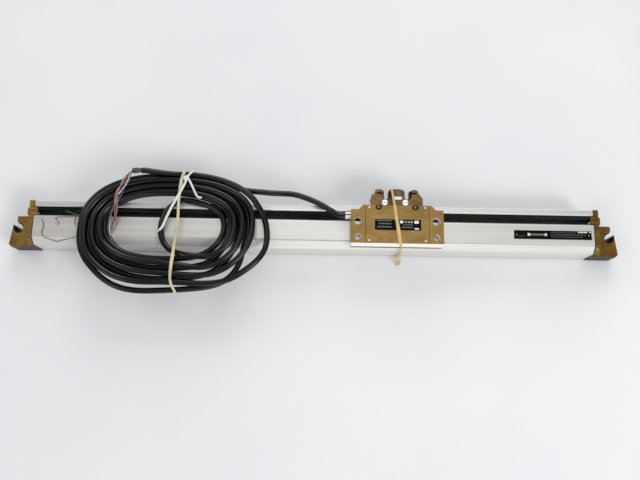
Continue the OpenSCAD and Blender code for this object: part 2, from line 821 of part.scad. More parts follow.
// A point of a rounded oval: an ellipse squared off a little.
function oval(mid, half, a, n = 2.3) = [
  mid[0] + half[0] * sign(cos(a)) * pow(abs(cos(a)), 2 / n),
  mid[1] + half[1] * sign(sin(a)) * pow(abs(sin(a)), 2 / n)];

// Rings of a tube of radius r round the points p, each ring across the path.
function path_dir(p, i) =
  let (d = p[min(i + 1, len(p) - 1)] - p[max(i - 1, 0)]) d / norm(d);
function ring(p, i, r, sides) =
  let (d = path_dir(p, i), s = cross([0, 0, 1], d), side = s / norm(s), up = cross(d, side))
  [for (k = [0:sides - 1]) p[i] + r * (cos(360 * k / sides) * side + sin(360 * k / sides) * up)];

// A smooth point between p1 and p2, with p0 and p3 before and after them.
function blend4(p0, p1, p2, p3, t) = 0.5 * (2 * p1 + (p2 - p0) * t
  + (2 * p0 - 5 * p1 + 4 * p2 - p3) * t * t + (3 * p1 - p0 - 3 * p2 + p3) * t * t * t);
function smooth_route(p, n) = concat([for (i = [0:len(p) - 2], k = [0:n - 1])
  blend4(p[max(i - 1, 0)], p[i], p[i + 1], p[min(i + 2, len(p) - 1)], k / n)], [p[len(p) - 1]]);

module tube(p, r, sides) {
  n = len(p);
  last = (n - 1) * sides;
  polyhedron(
    points = [for (i = [0:n - 1]) each ring(p, i, r, sides)],
    faces = concat(
      [for (i = [0:n - 2], k = [0:sides - 1])
        [i * sides + k, (i + 1) * sides + k, (i + 1) * sides + (k + 1) % sides, i * sides + (k + 1) % sides]],
      [[for (k = [0:sides - 1]) k]], [[for (k = [sides - 1:-1:0]) last + k]]),
    convexity = 6);
}

module lead_run() {
  color(black) tube(smooth_route(run_route, 2), lead_d / 2, 12);
}

module oval_plate(half, mid, n) {
  polygon([for (a = [0:6:354]) oval(mid, half, a, n)]);
}

module lead_coil() {
  color(black) translate([0, 0, coil_z]) for (s = [[0, 0, coil_step], [tier_in, coil_step, coil_h]])
    translate([0, 0, s[1]]) linear_extrude(s[2] - s[1]) difference() {
      oval_plate(coil_out - [s[0], s[0]], coil_mid, 2.4);
      oval_plate(coil_in + [s[0], s[0]], coil_in_mid, 2.3);
    }
}

sleeve_at = [-205, 60, coil_z + coil_h + 3.2];

sleeve_turn = 4;
sleeve_l = 10;
sleeve_neck = 3;
sleeve_dir = [-cos(sleeve_turn), -sin(sleeve_turn), 0];

module lead_sleeve() {
  color("#8d8878") translate(sleeve_at) rotate([0, -90, sleeve_turn]) {
    cylinder(d = 5, h = sleeve_neck + 1);
    translate([0, 0, sleeve_neck]) cylinder(d = 6.4, h = sleeve_l - sleeve_neck);
  }
}

conductor_route = [sleeve_at + (sleeve_l + 0.02) * sleeve_dir, sleeve_at + (sleeve_l + 3) * sleeve_dir,
                   [-223.5, 52, 56], [-230, 43, 55.6], [-236, 33, 55.4], [-239, 20, 55.4],
                   [-241, 8, 55.4], [-242, -4, 55.4]];

module lead_conductors() {
  color("#c8a090") tube(conductor_route, 2, 8);
}

// ---- Tie and bands ----

band_in = coil_z - band_gap - band_t;

// A closed band in Y and Z round the coil's near or far side.
module coil_loop(y0, y1, z0, z1, t) {
  difference() {
    translate([y0 - t, z0 - t]) square([y1 - y0 + 2 * t, z1 - z0 + 2 * t]);
    translate([y0, z0]) square([y1 - y0, z1 - z0]);
  }
}

tie_x = -149;

module cable_tie() {
  top = coil_z + coil_h + band_gap;
  color("white") {
    translate([tie_x, 0, 0]) along_x(-1.6, 1.6) coil_loop(29.6, 63, coil_z - band_gap, top, 1);
    translate([tie_x - 4, 50, top + 0.9]) cube([8, 7, 3.4]);
  }
}

module coil_band() {
  top = coil_z + coil_h + band_gap;
  color(cream) translate([-160, 0, 0]) {
    along_x(-band_w / 2, band_w / 2) coil_loop(29, 63.6, coil_z - band_gap, top, band_t);
    along_x(-band_w / 2, band_w / 2) translate([-84, top + 0.4]) square([148, band_t]);
    along_x(-band_w / 2, band_w / 2) coil_loop(-84, -37.8, coil_z - band_gap, top, band_t);
  }
}

band_lean = 8.2;
band_pivot = 10;

// A place across the housing, carried over to the leaning plane of the head's band.
function band_at(y) = band_pivot + (y - band_pivot) / cos(band_lean)
  + sign(y - band_pivot) * band_w / 2 * tan(band_lean);

// Outline that the head's band is stretched over, in its own plane.
module band_path() {
  g = band_gap;
  polygon([[band_at(-head_low - g), head_z - bevel_w], [band_at(bevel_w - head_low - g), head_z + g + 0.5],
           [band_at(20), head_z + g + 0.5], [band_at(foot_high + g), foot_z + 1.8 + g],
           [band_at(foot_high + g), foot_z - foot_t - g], [band_at(high_y + g), back_gap - g],
           [band_at(low_y - g), back_gap - g], [band_at(low_y - g), slope_z]]);
}

module head_band() {
  color(cream) translate([head_x - 0.4, band_pivot, 0]) rotate([0, 0, band_lean])
    translate([0, -band_pivot, 0]) along_x(-band_w / 2, band_w / 2) difference() {
      offset(delta = band_t) band_path();
      band_path();
    }
}

housing();
end_block_left();
end_block_right();
end_gasket_left();
end_gasket_right();
end_screws();
fixing_screws();
lip_upper();
lip_lower();
lip_pins();
lip_clamp_left();
lip_clamp_right();
glass_scale();
scale_bedding();
scale_plate();
carriage_frame();
bearing_pins();
guide_bearing_1();
guide_bearing_2();
guide_bearing_3();
edge_bearing_1();
edge_bearing_2();
lamp_holder();
lamp();
condenser_lens();
scanning_reticle();
photocell_board();
signal_lead();
blade();
coupling_spring();
head_block();
head_cover();
cover_gasket();
cover_screws();
terminal_board();
head_plate();
mounting_foot();
foot_screws();
foot_lug();
lug_screw();
tongue_screws();
lead_clip();
lead_gland();
lead_run();
lead_coil();
lead_sleeve();
lead_conductors();
cable_tie();
coil_band();
head_band();
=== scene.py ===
# %% [markdown]
# A sealed linear glass scale: an aluminium housing, a gold reading head, and a
# black lead wound into an oval coil on the housing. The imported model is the
# frame. Every place below is worked out from it, or is a named size in millimetres.

# %% The frame
from math import cos, radians, sin

import bpy
from mathutils import Matrix, Vector


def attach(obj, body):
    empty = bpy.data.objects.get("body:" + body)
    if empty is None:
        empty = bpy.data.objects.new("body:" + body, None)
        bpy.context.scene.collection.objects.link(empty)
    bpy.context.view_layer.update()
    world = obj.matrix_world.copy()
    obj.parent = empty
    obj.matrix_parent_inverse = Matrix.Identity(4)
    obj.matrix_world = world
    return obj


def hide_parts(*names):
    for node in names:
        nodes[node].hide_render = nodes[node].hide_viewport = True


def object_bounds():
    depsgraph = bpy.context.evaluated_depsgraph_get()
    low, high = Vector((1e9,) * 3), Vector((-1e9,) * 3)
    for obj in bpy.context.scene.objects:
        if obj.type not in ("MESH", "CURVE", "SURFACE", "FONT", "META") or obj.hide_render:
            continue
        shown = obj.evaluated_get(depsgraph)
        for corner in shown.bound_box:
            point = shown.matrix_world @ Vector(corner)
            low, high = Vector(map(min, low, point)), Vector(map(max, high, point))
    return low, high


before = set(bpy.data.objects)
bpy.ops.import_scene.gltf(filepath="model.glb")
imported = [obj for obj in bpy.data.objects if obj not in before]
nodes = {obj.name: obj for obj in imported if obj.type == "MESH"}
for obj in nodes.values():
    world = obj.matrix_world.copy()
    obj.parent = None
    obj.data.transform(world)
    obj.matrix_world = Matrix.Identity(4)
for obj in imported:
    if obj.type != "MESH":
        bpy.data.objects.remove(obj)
cad_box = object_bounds()
MM = 0.001
bpy.ops.object.select_all(action="DESELECT")
print("CAD nodes:", len(nodes), "box:", [tuple(round(c, 4) for c in p) for p in cad_box])

# %% [markdown]
# The camera looks almost straight down on the wide face, as for a picture in a
# parts list. Its distance sets the perspective: near enough that the end
# blocks' inner sides show a little. A small roll tilts the housing by one degree.

# %% The camera
LENS = 37.125
TARGET = Vector((7.81, -16.585, 37)) * MM
DISTANCE = 782.4 * MM
ELEVATION = radians(77.29)
ROLL = radians(1.026)

look = Vector((0, cos(ELEVATION), -sin(ELEVATION)))
level = Vector((1, 0, 0))
rise = level.cross(look)
side = level * cos(ROLL) + rise * sin(ROLL)
up = rise * cos(ROLL) - level * sin(ROLL)
camera = bpy.data.objects.new("camera", bpy.data.cameras.new("camera"))
camera.data.lens = LENS
camera.data.clip_start = 0.01
camera.data.clip_end = 20
turn = Matrix((side, up, -look)).transposed().to_4x4()
camera.matrix_world = Matrix.Translation(TARGET - look * DISTANCE) @ turn
bpy.context.scene.collection.objects.link(camera)
bpy.context.scene.camera = camera
print("camera at", tuple(round(c, 3) for c in camera.location))

# %% [markdown]
# The lead is one long cable. It leaves the gland, arches over to the far edge
# of the housing and is wound there in two layers: about four turns on the
# housing's face from the outside inwards, one short turn that cuts across the
# opening and climbs, and more than three turns on top, from the inside outwards.
# Separate rings would be quicker, but a real coil is one line with two ends, so
# the centre line is worked out by angle. The ring is what lies between two
# ovals, and lines across it say how much room its turns have at each angle.

# %% The ring that the turns fill
LEAD_D = 7
# Middle, half sizes and squareness of the ring's outer and inner edges.
OUT_MID, OUT_HALF, OUT_N = (-167.5, -10.5), (112.5, 72.5), 2.4
IN_MID, IN_HALF, IN_N = (-173, -3.5), (70.5, 36), 2.3
SEAT = 0.35  # from the ring's edges to the nearest jacket


def oval(mid, half, n, angle):
    """A point of an ellipse that is squared off a little. A true ellipse has n = 2."""
    c, s = cos(radians(angle)), sin(radians(angle))
    x = mid[0] + half[0] * abs(c) ** (2 / n) * (1 if c >= 0 else -1)
    y = mid[1] + half[1] * abs(s) ** (2 / n) * (1 if s >= 0 else -1)
    return Vector((x, y, 0))


def ring_width(angle):
    """The innermost line's point, the step outwards that moves a turn by 1 mm, and the room."""
    edge = LEAD_D / 2 + SEAT

    def lines(a):
        return (oval(IN_MID, [h + edge for h in IN_HALF], IN_N, a),
                oval(OUT_MID, [h - edge for h in OUT_HALF], OUT_N, a))

    inner, outer = lines(angle)
    across = (outer - inner).normalized()
    slant = 1
    for before, after in zip(lines(angle - 1), lines(angle + 1)):
        along = (after - before).normalized()
        slant = min(slant, across[0] * along[1] - across[1] * along[0])
    return inner, across / slant, (outer - inner).length * slant


sample = [ring_width(a)[2] for a in range(360)]
print("room across the ring:", round(min(sample), 1), "to", round(max(sample), 1), "mm")

# %% [markdown]
# Hand-wound turns are never evenly spaced. Neighbours lie a pitch or more
# apart, a little over one diameter, and each turn takes its own share of the
# spare room. The upper turns lie over the gaps of the lower ones, all wander a
# little, and a few have slipped outwards. That keeps them clear of each other,
# which turns placed at random would not be.

# %% Where a turn of the ring lies
PITCH = 7.1
OUTERMOST = 3  # turns are numbered from 0, the innermost
INSIDE = -1  # a turn that lies within the ring's opening
INSIDE_STEP = 1.06  # its distance from turn 0, in pitches
ROUND = 360

# Share of the spare width inside each turn, from the innermost to the outermost.
FLOOR_LOOSE = (0, 0.33, 0.66, 1)
TOP_LOOSE = (0.42, 0.72, 1, 1)
GAP_ANGLE, GAP_PULL = 338, 0.42  # here the turns draw inwards from the outermost one
WANDER, TURN_PHASE, LAYER_PHASE = 0.04, 130, 300
# Where a turn has slipped outwards, as the angle of its middle and its most in mm.
SLIPPED = {(FLOOR_LOOSE, 3): (246, 4.9), (TOP_LOOSE, 2): (244, 2), (TOP_LOOSE, 3): (352, 4.4)}
SLIP_SHARPNESS = 2.6  # a slip ends at 90 degrees over this on either side


def spare_share(angle, number, loose):
    """The share of the spare width that lies inside this turn."""
    if number == OUTERMOST:
        return loose[OUTERMOST]
    wave = WANDER * sin(radians(2 * angle + TURN_PHASE * number + LAYER_PHASE * loose[0]))
    pulled = 1 - GAP_PULL * max(0, cos(radians(angle - GAP_ANGLE))) ** 2
    return max(0, min(1, loose[number] * pulled + wave))


def bulge(angle, number, loose):
    """How far, in mm, this turn has slipped outwards."""
    middle, most = SLIPPED.get((loose, number), (0, 0))
    off = (angle - middle + ROUND / 2) % ROUND - ROUND / 2
    return most * max(0, cos(radians(max(-90, min(90, SLIP_SHARPNESS * off))))) ** 2


def spot(angle, number, loose):
    """A point of the turn with this number."""
    inner, across, width = ring_width(angle)
    if number == INSIDE:
        return inner - across * INSIDE_STEP * PITCH
    spare = spare_share(angle, number, loose) * (width - OUTERMOST * PITCH)
    return inner + across * (number * PITCH + spare + bulge(angle, number, loose))


for loose in (FLOOR_LOOSE, TOP_LOOSE):
    places = [spot(0, number, loose).x for number in range(OUTERMOST + 1)]
    print("turns at the right end, x:", [round(x, 1) for x in places])

# %% [markdown]
# The angle counts on from turn to turn. Once in each turn the lead eases over
# to its next line, as a winding hand does. The short turn and the two ends
# follow no ring, so their points are given one by one.

# %% The wound lead
STEP = 6
FIRST_ANGLE = 57
LEAVE_ANGLE = 4 * ROUND + 75
REJOIN_ANGLE = 4 * ROUND + 306
LAST_ANGLE = 8 * ROUND + 96
FLOOR_SHIFT, FLOOR_SHIFT_HALF = 320, 28  # where a turn changes over, and half the change
TOP_SHIFT, TOP_SHIFT_HALF = 5 * ROUND + 284, 21
FLOOR_TURNS_Z = 41.15
TOP_TURNS_Z = 48.4
DIP = 6.3  # how far one turn comes down, and the angles between which it does
DIP_DOWN = (8 * ROUND - 30, 8 * ROUND - 2)
DIP_UP = (8 * ROUND + 5, 8 * ROUND + 32)
SHORT_TURN = [(-161, 27.4, 41.2), (-172.4, 17.8, 41.2), (-179.2, 4.4, 41.2), (-180.8, -8.8, 41.2),
              (-177.2, -22.2, 41.3), (-169.4, -31.6, 42.8), (-159.4, -36.6, 45.6), (-149, -39.4, 47.9),
              (-137, -40.8, 48.2)]
LEAD_END = [(-190, 59.6, 51.6), (-198, 60.2, 53.8), (-205, 60, 54.9)]


def ease(value, start, end):
    """Rises smoothly from 0 at start to 1 at end."""
    t = min(1, max(0, (value - start) / (end - start)))
    return t * t * (3 - 2 * t)


def wound(angle, numbers, first_shift, half, loose, z):
    """The lead's place at this angle, if it changes its turn at first_shift and once a round after."""
    change = max(0, min(len(numbers) - 2, round((angle - first_shift) / ROUND)))
    middle = first_shift + ROUND * change
    share = ease(angle, middle - half, middle + half)
    place = spot(angle, numbers[change], loose).lerp(spot(angle, numbers[change + 1], loose), share)
    place.z = z
    return place


def dip(angle):
    """The loosest turn comes down to the housing's face where no turn lies under it."""
    return DIP * ease(angle, *DIP_DOWN) * (1 - ease(angle, *DIP_UP))


coil = []
for angle in range(FIRST_ANGLE, LEAVE_ANGLE, STEP):
    coil.append(wound(angle, (3, 2, 1, 0, INSIDE), FLOOR_SHIFT, FLOOR_SHIFT_HALF, FLOOR_LOOSE, FLOOR_TURNS_Z))
coil += [Vector(p) for p in SHORT_TURN]
for angle in range(REJOIN_ANGLE, LAST_ANGLE, STEP):
    coil.append(wound(angle, (0, 1, 2, 3), TOP_SHIFT, TOP_SHIFT_HALF, TOP_LOOSE, TOP_TURNS_Z - dip(angle)))
coil += [Vector(p) for p in LEAD_END]
print("coil:", len(coil), "points,", round((LAST_ANGLE - FIRST_ANGLE) / ROUND, 1), "turns")

# %% [markdown]
# The rows of points are only stations. A Catmull-Rom curve passes through every
# station and bends smoothly between them, so it keeps each turn where it was
# put, where a curve that only comes near its points would draw the coil inwards.

# %% One smooth line from the gland to the stripped end
SMOOTH_STEPS = 3
GLAND_RUN = [(42.7, 12.5, 43), (36.8, 12.5, 43), (34, 12.5, 43), (28, 13.8, 43.1), (19.5, 18.4, 43.4),
             (8, 25.4, 43.2), (-5, 31.6, 42), (-17, 36.2, 40.6), (-27, 38.6, 39.4), (-40, 39.4, 38.6),
             (-52, 39.6, 39), (-63, 40.2, 40.4), (-74, 40.6, 41.6), (-86, 42.4, 41.4)]


def smooth_line(points, parts):
    """A Catmull-Rom curve through the points, with parts short steps between each two."""
    line = []
    for i in range(len(points) - 1):
        a, b, c, d = (points[max(0, min(len(points) - 1, i + k))] for k in (-1, 0, 1, 2))
        for k in range(parts):
            t = k / parts
            line.append(0.5 * (2 * b + (c - a) * t + (2 * a - 5 * b + 4 * c - d) * t * t
                               + (3 * b - a - 3 * c + d) * t ** 3))
    return line + [points[-1]]


lead_line = [p * MM for p in smooth_line([Vector(p) for p in GLAND_RUN] + coil, SMOOTH_STEPS)]
lead_length = sum((b - a).length for a, b in zip(lead_line, lead_line[1:]))
print("lead:", len(lead_line), "points,", round(lead_length, 3), "m")

# %% [markdown]
# Every finish is worked out from a surface's own coordinates in metres, so that
# it stays put when the part moves. Such a material can be wired up by hand, node
# by node, but the sums are hard to read then. A small class holds one socket, and
# Python's operators on it add the Math nodes, so a formula reads as a formula.

# %% A socket that can be calculated with
class Wire:
    """One output socket of a material's node tree."""

    def __init__(self, tree, socket=None):
        self.tree, self.socket = tree, socket

    def node(self, kind, settings=None, inputs=None, out=0):
        """Adds a node: its settings are set first, then its sockets' values or links."""
        made = self.tree.nodes.new("ShaderNode" + kind)
        for name, value in (settings or {}).items():
            if name == "stops":
                ramp = made.color_ramp.elements
                ramp[0].position, ramp[0].color = value[0][0], (*value[0][1], 1)
                ramp[1].position, ramp[1].color = value[-1][0], (*value[-1][1], 1)
                for place, colour in value[1:-1]:
                    ramp.new(place).color = (*colour, 1)
            else:
                setattr(made, name, value)
        for name, value in (inputs or {}).items():
            if isinstance(value, Wire):
                self.tree.links.new(value.socket, made.inputs[name])
            else:
                made.inputs[name].default_value = value
        return Wire(self.tree, made.outputs[out])

    def maths(self, operation, *values):
        """A Math node. Its comparisons give 1 for true and 0 for false."""
        return self.node("Math", {"operation": operation}, dict(enumerate(values)))

    def __add__(self, other):
        return self.maths("ADD", self, other)

    __radd__ = __add__

    def __sub__(self, other):
        return self.maths("SUBTRACT", self, other)

    def __rsub__(self, other):
        return self.maths("SUBTRACT", other, self)

    def __mul__(self, other):
        return self.maths("MULTIPLY", self, other)

    __rmul__ = __mul__

    def __gt__(self, other):
        return self.maths("GREATER_THAN", self, other)

    def __lt__(self, other):
        return self.maths("LESS_THAN", self, other)

    def fraction(self):
        return self.maths("FRACT", self)

    def most(self, other):
        return self.maths("MAXIMUM", self, other)

    def least(self, other):
        return self.maths("MINIMUM", self, other)

    def size(self):
        return self.maths("ABSOLUTE", self)

    def within(self, middle, half):
        """1 where the value lies no further than half from the middle, and 0 elsewhere."""
        return self.maths("COMPARE", self, middle, half)

    def place(self):
        """The surface's own coordinates, in metres."""
        return self.node("TexCoord", out="Object")

    def facing(self):
        """The direction that the surface faces, in its own axes."""
        return self.node("TexCoord", out="Normal")

    def axes(self, vector):
        """A vector's X, Y and Z."""
        made = self.node("SeparateXYZ", inputs={0: vector}).socket.node
        return [Wire(self.tree, o) for o in made.outputs]

    def noise(self, scale, detail=3, stretch=(1, 1, 1), roughness=0.5):
        """Smooth noise about 0.5. A larger stretch number packs it closer along that axis."""
        at = self.node("Mapping", inputs={0: self.place(), "Scale": stretch})
        sizes = {"Vector": at, "Scale": scale, "Detail": detail, "Roughness": roughness}
        return self.node("TexNoise", inputs=sizes)

    def blend(self, share, first, second):
        return self.node("Mix", {"data_type": "RGBA"}, {0: share, 6: first, 7: second}, 2)

    def ramp(self, value, *stops):
        """A colour for each value. A stop is a value and its colour."""
        return self.node("ValToRGB", {"stops": stops}, {0: value})

    def bump(self, height, depth):
        return self.node("Bump", inputs={"Height": height, "Distance": depth, "Strength": 1})


def finish(name, **fixed):
    """A new material with its uniform values, and the Wire and shader that it is painted with."""
    material = bpy.data.materials.new(name)
    material.use_nodes = True
    shader = material.node_tree.nodes["Principled BSDF"]
    for socket, value in fixed.items():
        shader.inputs[socket.replace("_", " ")].default_value = value
    return material, Wire(material.node_tree), shader


def paint(wire, shader, **values):
    """Links worked-out values to the shader's sockets."""
    for name, value in values.items():
        wire.tree.links.new(value.socket, shader.inputs[name.replace("_", " ")])


# %% [markdown]
# The housing is drawn through a die, so its marks run along its length only:
# noise packed tightly across X and stretched far along it gives fine die lines.
# An image of brushed metal could show them too, but it would repeat visibly over
# such a long face. Anodising makes them soft, so they change the roughness more
# than the colour. The front, with its slope, is etched more deeply, so it is
# duller than the wide face.

# %% Anodised aluminium
HIGHLIGHT_EDGES, HIGHLIGHT_HALF = (6.7, 20.4, 25.9), 0.35  # edges in Y that get a painted highlight
CREASE, CREASE_HALF = -17.7, 0.3  # a painted shade line where the face meets the slope
UPPER_PART = 35  # both are seen above this height only
# How much of a face's direction lies along an axis. Past the first number the face slopes,
# past the second it is square to the axis, and below the third it runs along it.
SLOPING, SQUARE, LEVEL = 0.35, 0.9, 0.3


def anodised():
    material, wire, shader = finish("anodised_aluminium")
    lines = wire.noise(260, 4, (0.02, 1, 1))
    clouds = wire.noise(7, 3, (0.5, 1, 1))
    colour = wire.ramp(lines * 0.6 + clouds * 0.4, (0.3, (0.66, 0.65, 0.61)), (0.7, (0.84, 0.83, 0.79)))
    _, y, z = wire.axes(wire.place())
    # Painted highlights along the housing's edges in Y, on its upper part only.
    edges = (y.within(edge * MM, HIGHLIGHT_HALF * MM) for edge in HIGHLIGHT_EDGES)
    edge_highlight = sum(edges, 0) * (z > UPPER_PART * MM)
    # A painted shade line where the face meets the slope.
    crease_shade = y.within(CREASE * MM, CREASE_HALF * MM) * (z > UPPER_PART * MM)
    colour = wire.blend(edge_highlight.least(1), colour, (0.94, 0.94, 0.93, 1))
    colour = wire.blend(crease_shade * 0.5, colour, (0.2, 0.2, 0.2, 1))
    front = wire.axes(wire.facing())[1] < -SLOPING
    paint(wire, shader, Base_Color=colour, Roughness=lines * 0.16 + 0.3 + front * 0.06,
          Metallic=0.82 - front * 0.35, Normal=wire.bump(lines, 0.00003))
    return material


aluminium = anodised()
print(aluminium.name, "uses", len(aluminium.node_tree.nodes), "nodes")

# %% [markdown]
# The head and the end blocks are zinc castings under a yellow chromate coat. The
# coat is an iridescent film, so it runs from gold to brown in soft blotches,
# and each casting has its own film colour. One function makes all four, because
# the castings differ in their colours and in the painted highlights, painted
# shade and dark joints that each one gets.

# %% Yellow chromate
def chromate(name, light, dark, film, bevel=None, wall_shade=None, shade_or_joint=None, bore_highlight=None):
    """bevel and wall are the colours of a painted highlight on the front's sloping faces and of
    painted shade on its upright faces. recess and bare are functions of a place's axes: 1 where
    painted shade or a dark joint goes, and where the bore walls get a painted highlight."""
    material, wire, shader = finish(name, Metallic=0.55)
    blotch = wire.noise(70, 5, (0.7, 1, 1), 0.7)
    grain = wire.noise(900, 2)
    tint = wire.noise(34, 3)
    base = wire.ramp(blotch, (0.36, dark), (0.64, light))
    colour = wire.blend(((tint - 0.5) * 2.4).most(0) * 0.8, base, (*film, 1))
    rough = blotch * 0.14 + grain * 0.1 + 0.34
    _, y, z = wire.axes(wire.facing())
    # A painted highlight on faces that slope towards the front.
    if bevel:
        colour = wire.blend((y < -SLOPING) * (z > SLOPING), colour, (*bevel, 1))
    # Painted shade on upright faces that face the front.
    if wall_shade:
        colour = wire.blend(y < -SQUARE, colour, (*wall_shade, 1))
    # A painted highlight on the walls of the tab bores.
    if bore_highlight:
        lit_bore = bore_highlight(*wire.axes(wire.place())) * (z.size() < LEVEL)
        colour = wire.blend(lit_bore, colour, (0.95, 0.94, 0.92, 1))
    # Painted shade in the ears' and the foot's low places, and a dark line in the cover's joints.
    if shade_or_joint:
        colour = wire.blend(shade_or_joint(*wire.axes(wire.place())) * 0.86, colour, (0.012, 0.008, 0.008, 1))
    paint(wire, shader, Base_Color=colour, Roughness=rough, Normal=wire.bump(grain, 0.00004))
    return material


# %% [markdown]
# Shade is painted into the ears' counterbores and onto the foot's lower step, the
# cover's joints get a dark line, and the tab bores a painted highlight. Cutting
# the meshes up to give those places their own slots would work, but each place
# is simple to say in coordinates: 1 inside it and 0 elsewhere. The absolute
# value of X serves both ears at once.

# %% Where shade, dark joints and highlights are painted
HEAD_X = 98.4
TAB_HOLE_X, TAB_HOLE_R = 46.35, 5.2
TAB_HOLES_Y, TAB_HOLES_HALF = -4, 14.6
COVER_HALF, SEAM_HALF = 37.5, 0.3
SEAM_ABOVE, SEAM_BEHIND = 46, -21
EAR_SPOT = Vector((357.6, -4.7)) * MM
EAR_SPOT_R = 6.4 * MM
EAR_SLOT_LEAN = radians(36)
EAR_SLOT_HALF = 3 * MM
EAR_TOP = 22 * MM
FOOT_STEP = 33.6 * MM
FOOT_TOP = 43.6 * MM


def ear_recess_shade(x, y, z):
    """Painted shade in the round counterbore and the slot that runs out of it, on either ear."""
    right, rise = x.size() - EAR_SPOT.x, y - EAR_SPOT.y
    round_part = (right * right + rise * rise) < EAR_SPOT_R ** 2
    off_slot = (right * sin(EAR_SLOT_LEAN) - rise * cos(EAR_SLOT_LEAN)).size()
    slot_part = (right > 0) * (off_slot < EAR_SLOT_HALF)
    return round_part.most(slot_part) * (z < EAR_TOP)


def tab_bore_highlight(x, y, z):
    """A painted highlight on the walls of the two round holes in each end tab."""
    column = ((x - HEAD_X * MM).size() - TAB_HOLE_X * MM).size() < TAB_HOLE_R * MM
    return column * y.within(TAB_HOLES_Y * MM, TAB_HOLES_HALF * MM)


def cover_seam(x, y, z):
    """Dirt in the joint between the cover and each end tab."""
    joint = ((x - HEAD_X * MM).size() - COVER_HALF * MM).size() < SEAM_HALF * MM
    return joint * (z > SEAM_ABOVE * MM) * (y > SEAM_BEHIND * MM)


def foot_step_shade(x, y, z):
    """Painted shade on the foot's lower step."""
    return (y > FOOT_STEP) * (z < FOOT_TOP)


print("ear recess at x", round(EAR_SPOT.x, 4), "and", round(-EAR_SPOT.x, 4), "m")

# %% [markdown]
# The dull pieces share one recipe: a colour that wanders a little between two
# near values, and a fine grain that the light catches. A single flat colour
# would do for hidden pieces, but on rubber and turned metal it looks like paint.

# %% Rubber, plastic and turned metal
GROOVE_HALF = 0.75


def plain(name, first, second, rough, grain_scale=500, depth=0.00003, stretch=(1, 1, 1),
          groove=None, **fixed):
    """groove is a place in Y, in mm, at which a narrow dark joint runs along the piece."""
    material, wire, shader = finish(name, **fixed)
    grain = wire.noise(grain_scale, 3, stretch)
    wander = wire.noise(40, 2)
    colour = wire.ramp(wander * 0.7 + grain * 0.3, (0.35, first), (0.65, second))
    if groove is not None:
        _, y, _ = wire.axes(wire.place())
        colour = wire.blend(y.within(groove * MM, GROOVE_HALF * MM), colour, (0.01, 0.01, 0.02, 1))
    paint(wire, shader, Base_Color=colour, Roughness=grain * 0.14 + (rough - 0.07),
          Normal=wire.bump(grain, depth))
    return material


# %% [markdown]
# Two black plates carry the maker's print on a real scale. This part is for
# anyone's use, so they bear plain bars only: a few pale blocks, and rows of
# dashes where lines of small print would be. An image texture is the usual way,
# but a bar is just a range in X and Y, so it stays sharp at any distance.

# %% The two labels' print
DASH = 1.7


def printed(name, bars):
    """A black plate. A bar is its X and Y limits, its grey, and the share of each dash that is printed."""
    material, wire, shader = finish(name, Roughness=0.42, Specular_IOR_Level=0.05)
    x, y, _ = wire.axes(wire.place())
    dust = wire.noise(260, 3)
    colour = wire.ramp(dust, (0.35, (0.001, 0.0015, 0.0015)), (0.7, (0.008, 0.01, 0.01)))
    for left, right, low, high, grey, dashes in bars:
        on = x.within((left + right) / 2 * MM, (right - left) / 2 * MM)
        on = on * y.within((low + high) / 2 * MM, (high - low) / 2 * MM)
        if dashes < 1:
            on = on * ((x * (1000 / DASH)).fraction() < dashes)
        colour = wire.blend(on, colour, (grey, grey, grey * 0.97, 1))
    paint(wire, shader, Base_Color=colour, Normal=wire.bump(dust, 0.00001))
    return material


HEAD_BARS = [(101.6, 105, 2.6, 5.8, 0.85, 1), (106.6, 109.2, 3, 5.4, 0.3, 1),
             (110.4, 112.8, 3, 5.4, 0.36, 1), (113.8, 116.2, 3, 5.4, 0.42, 1),
             (118.4, 123.4, 2.4, 5.9, 0.85, 1), (118.6, 123.6, -4.8, -3, 0.8, 1),
             (74, 92, 5, 5.9, 0.3, 0.62), (76, 91.4, 1.2, 2.6, 0.24, 0.55),
             (74.4, 92, -2.6, -1.3, 0.22, 0.7), (104.8, 116.6, 0.2, 1.4, 0.2, 0.6),
             (103.4, 116.4, -2.9, -1.7, 0.26, 0.66)]
SCALE_BARS = [(254.4, 277.4, -6.4, -4.2, 0.16, 1), (254.4, 257.6, -6.9, -3.7, 0.7, 1),
              (274.6, 277.4, -6.9, -3.7, 0.6, 1), (314, 325.6, -2.6, -0.9, 0.75, 0.75),
              (328, 329.6, -2.4, -1, 0.85, 1), (282, 312, -3, -2.2, 0.14, 0.6),
              (282, 324, -5.6, -4.8, 0.2, 0.55), (282, 320, -8.2, -7.5, 0.17, 0.6),
              (242.6, 251, -7.8, -7, 0.12, 0.6)]
head_print = printed("head_label_print", HEAD_BARS)
scale_print = printed("scale_label_print", SCALE_BARS)
print("bars on the labels:", len(HEAD_BARS), "and", len(SCALE_BARS))

# %% [markdown]
# A screw's top gets a painted highlight in its middle and is darker at its rim. The
# screws of one kind are one piece, so the finish finds each of them by folding
# the plane about the middle of their rectangle: one circle then serves them all.

# %% Screws seen from above
def screw_tops(name, middle, apart, radius, inside, outside):
    """Screws in a rectangle: apart is half their distance along X and Y, and inside is the colour of each
    top's painted highlight.
    """
    material, wire, shader = finish(name, Metallic=0.6)
    x, y, _ = wire.axes(wire.place())
    right = (x - middle[0] * MM).size() - apart[0] * MM
    rise = (y - middle[1] * MM).size() - apart[1] * MM
    brushed = wire.noise(900, 2)
    # The painted highlight: a circle in the middle of each top.
    on = (right * right + rise * rise) < (radius * MM) ** 2
    paint(wire, shader, Base_Color=wire.blend(on, (*outside, 1), (*inside, 1)),
          Roughness=brushed * 0.2 + 0.25, Normal=wire.bump(brushed, 0.00002))
    return material


cover_screw = screw_tops("cover_screw_zinc", (HEAD_X, 1.7), (33, 20.1), 1.25,
                         (0.9, 0.8, 0.8), (0.2, 0.12, 0.05))
tongue_screw = screw_tops("tongue_screw_steel", (HEAD_X, 22.9), (21.7, 0), 1.1,
                          (0.5, 0.45, 0.44), (0.02, 0.012, 0.01))
print("screw finishes:", cover_screw.name, tongue_screw.name)
